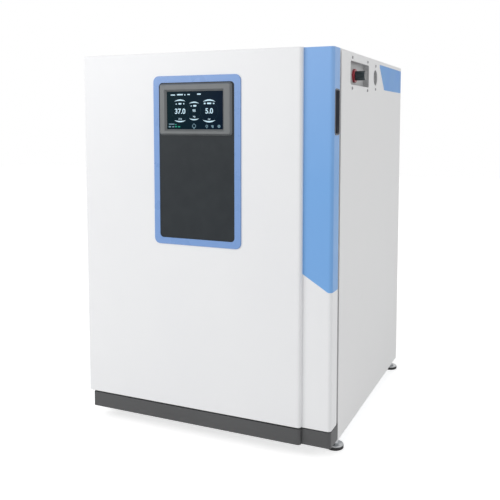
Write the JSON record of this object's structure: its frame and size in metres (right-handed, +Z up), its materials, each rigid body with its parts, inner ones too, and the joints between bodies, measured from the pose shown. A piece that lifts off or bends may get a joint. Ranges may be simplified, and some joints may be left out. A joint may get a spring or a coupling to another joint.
{
  "type": "carbon dioxide incubator",
  "caption": "Upright heated cabinet with a white outer door, blue column, touch panel, recessed locking handle, glass inner door, shelves, water pan, fan and levelling feet.",
  "frame": {"origin": "middle of the whole part's footprint, on the surface that it stands on", "axes": "+Z up, -Y the front with the outer door, +X the right side with the power switch"},
  "size_m": [0.6733, 0.727, 0.92],
  "materials": {
    "cabinet_paint": "white textured powder coat",
    "door_paint": "white satin powder coat",
    "dark_paint": "dark grey satin paint",
    "blue_film": "blue satin film",
    "blue_label": "blue satin label",
    "stainless": "brushed stainless steel",
    "galvanised": "galvanised steel sheet",
    "hinge_steel": "satin steel",
    "foam": "rigid insulation",
    "heater": "silicone rubber",
    "inner_seal": "translucent silicone",
    "outer_seal": "grey magnetic seal",
    "pane": "clear tempered glass",
    "filter_media": "pleated media",
    "fan_plastic": "moulded",
    "motor_case": "black paint",
    "sensor_head": "moulded",
    "supply_case": "pressed sheet",
    "circuit": "green laminate",
    "brass": "machined",
    "black_plastic": "moulded, fine texture",
    "recess_grey": "moulded, fine texture",
    "red_plastic": "moulded",
    "knob_grey": "moulded",
    "port_grey": "moulded",
    "screw_steel": "bright",
    "foot_steel": "zinc-plated, with a bonded black rubber pad",
    "blue_plastic": "moulded frame",
    "panel_black": "satin membrane",
    "bezel_grey": "satin grey",
    "screen_glass": "glossy display",
    "lock_chrome": "plated"
  },
  "bodies": {
    "cabinet": {"cabinet_wrap": "cabinet_paint", "front_frame": "cabinet_paint", "base_pan": "galvanised", "rear_panel": "cabinet_paint", "plinth": "dark_paint", "chamber_liner": "stainless", "heater_mats": "heater", "chamber_insulation": "foam", "equipment_tray": "galvanised", "glass_seal": "inner_seal", "plenum_duct": "stainless", "air_filter": "filter_media", "fan_motor": "motor_case", "gas_sensor": "sensor_head", "temperature_probe": "stainless", "shelf_racks": "stainless", "shelf_1": "stainless", "shelf_2": "stainless", "shelf_3": "stainless", "water_pan": "stainless", "power_supply": "supply_case", "control_board": "circuit", "gas_valve": "brass", "gas_inlet": "brass", "mains_inlet": "black_plastic", "switch_tray": "recess_grey", "switch_escutcheon": "red_plastic", "switch_body": "black_plastic", "port_cup": "recess_grey", "side_label": "blue_label", "panel_screws": "screw_steel", "hinges_cabinet_side": "hinge_steel", "glass_keeper": "stainless", "lock_strike": "hinge_steel"},
    "outer_door": {"door_skin": "door_paint", "column_cover": "door_paint", "column_film": "blue_film", "door_liner": "stainless", "door_insulation": "foam", "door_seal": "outer_seal", "panel_surround": "blue_plastic", "control_panel": "panel_black", "panel_backbox": "galvanised", "display_board": "circuit", "screen_bezel": "bezel_grey", "screen": "screen_glass", "handle_cup": "black_plastic", "hinges_door_side": "hinge_steel"},
    "key_lock": {"lock_barrel": "lock_chrome", "lock_tongue": "hinge_steel"},
    "glass_door": {"glass_pane": "pane", "glass_hinge_straps": "stainless"},
    "glass_lever": {"glass_latch": "knob_grey"},
    "power_knob": {"switch_knob": "knob_grey"},
    "port_plug": {"port_cap": "port_grey"},
    "fan_rotor": {"fan_impeller": "fan_plastic"},
    "levelling_foot_front_left": {"foot_front_left": "foot_steel"},
    "levelling_foot_front_right": {"foot_front_right": "foot_steel"},
    "levelling_foot_rear_left": {"foot_rear_left": "foot_steel"},
    "levelling_foot_rear_right": {"foot_rear_right": "foot_steel"}
  },
  "joints": [
    {"name": "outer_door_hinge", "type": "hinge", "parent": "cabinet", "child": "outer_door", "pos_m": [-0.33065, -0.2955, 0.17], "axis": [0, 0, -1], "range_deg": [0, 120]},
    {"name": "glass_door_hinge", "type": "hinge", "parent": "cabinet", "child": "glass_door", "pos_m": [-0.26115, -0.2858, 0.2], "axis": [0, 0, -1], "range_deg": [0, 90]},
    {"name": "glass_latch_turn", "type": "hinge", "parent": "glass_door", "child": "glass_lever", "pos_m": [0.23985, -0.2865, 0.445], "axis": [0, -1, 0], "range_deg": [0, 90]},
    {"name": "key_turn", "type": "hinge", "parent": "outer_door", "child": "key_lock", "pos_m": [0.31535, -0.315, 0.741], "axis": [-1, 0, 0], "range_deg": [0, 90]},
    {"name": "power_switch_turn", "type": "hinge", "parent": "cabinet", "child": "power_knob", "pos_m": [0.33665, -0.1355, 0.869], "axis": [1, 0, 0], "range_deg": [0, 90]},
    {"name": "port_cap_pull", "type": "slide", "parent": "cabinet", "child": "port_plug", "axis": [1, 0, 0], "range_m": [0, 0.03]},
    {"name": "fan_spin", "type": "hinge", "parent": "cabinet", "child": "fan_rotor", "pos_m": [-0.00015, -0.0235, 0.77], "axis": [0, 0, 1], "continuous": true},
    {"name": "foot_front_left_turn", "type": "hinge", "parent": "cabinet", "child": "levelling_foot_front_left", "pos_m": [-0.30965, -0.2695, 0], "axis": [0, 0, 1], "continuous": true},
    {"name": "foot_front_right_turn", "type": "hinge", "parent": "cabinet", "child": "levelling_foot_front_right", "pos_m": [0.30935, -0.2695, 0], "axis": [0, 0, 1], "continuous": true},
    {"name": "foot_rear_left_turn", "type": "hinge", "parent": "cabinet", "child": "levelling_foot_rear_left", "pos_m": [-0.30965, 0.3085, 0], "axis": [0, 0, 1], "continuous": true},
    {"name": "foot_rear_right_turn", "type": "hinge", "parent": "cabinet", "child": "levelling_foot_rear_right", "pos_m": [0.30935, 0.3085, 0], "axis": [0, 0, 1], "continuous": true}
  ],
  "couplings": [
    {"joint": "glass_door_hinge", "follows": "outer_door_hinge", "ratio": 0.75}
  ]
}
